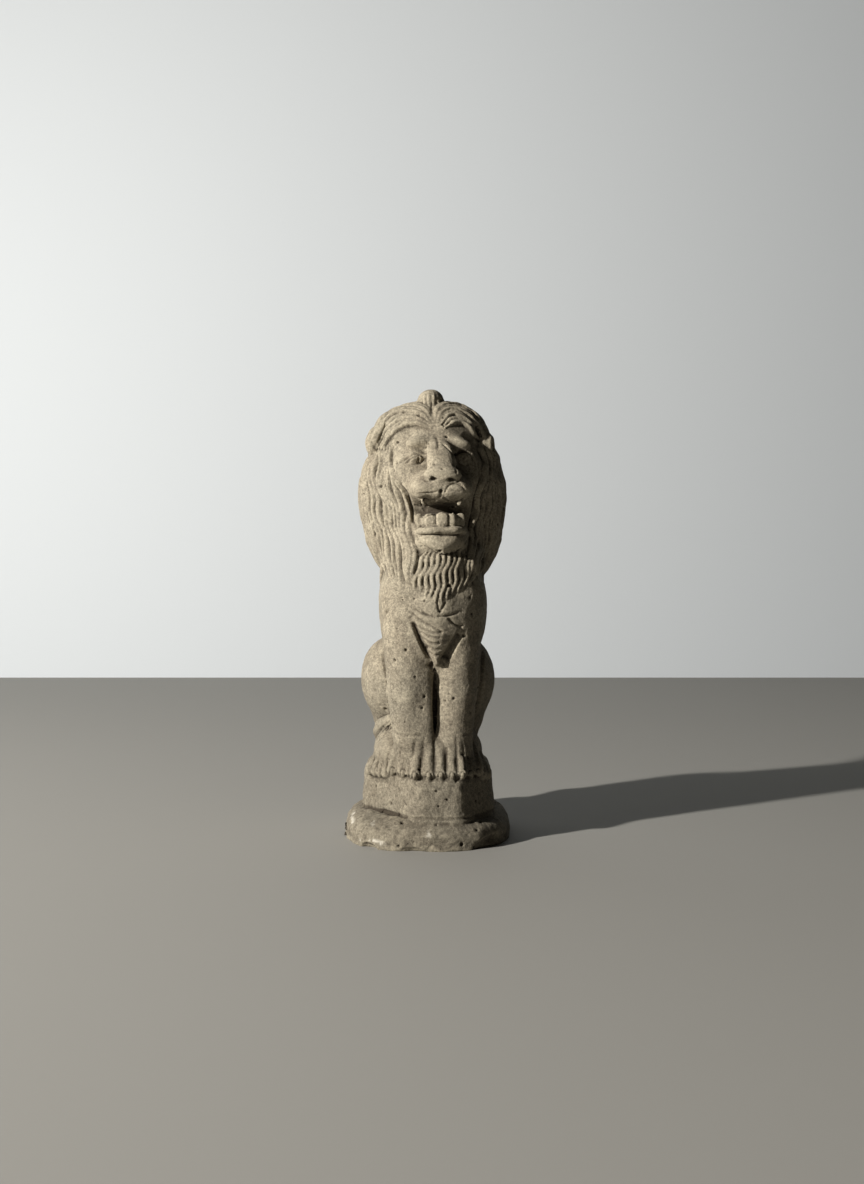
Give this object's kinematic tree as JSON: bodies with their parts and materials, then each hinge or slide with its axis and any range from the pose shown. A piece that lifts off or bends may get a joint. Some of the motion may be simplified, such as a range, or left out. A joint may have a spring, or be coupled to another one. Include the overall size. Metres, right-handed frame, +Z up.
{
  "type": "garden statue",
  "caption": "Seated lion with a full mane and open mouth, cast in one piece with a low block on a rounded slab.",
  "frame": {"origin": "middle of the slab's flat underside", "axes": "+Z up through the lion; the lion faces -Y; +X is to the right of whoever faces it"},
  "size_m": [0.2838, 0.3398, 0.7611],
  "materials": {
    "cast_stone": "weathered warm grey cast stone, matt and finely pitted"
  },
  "bodies": {
    "root": {"stone_lion": "cast_stone"}
  },
  "joints": []
}
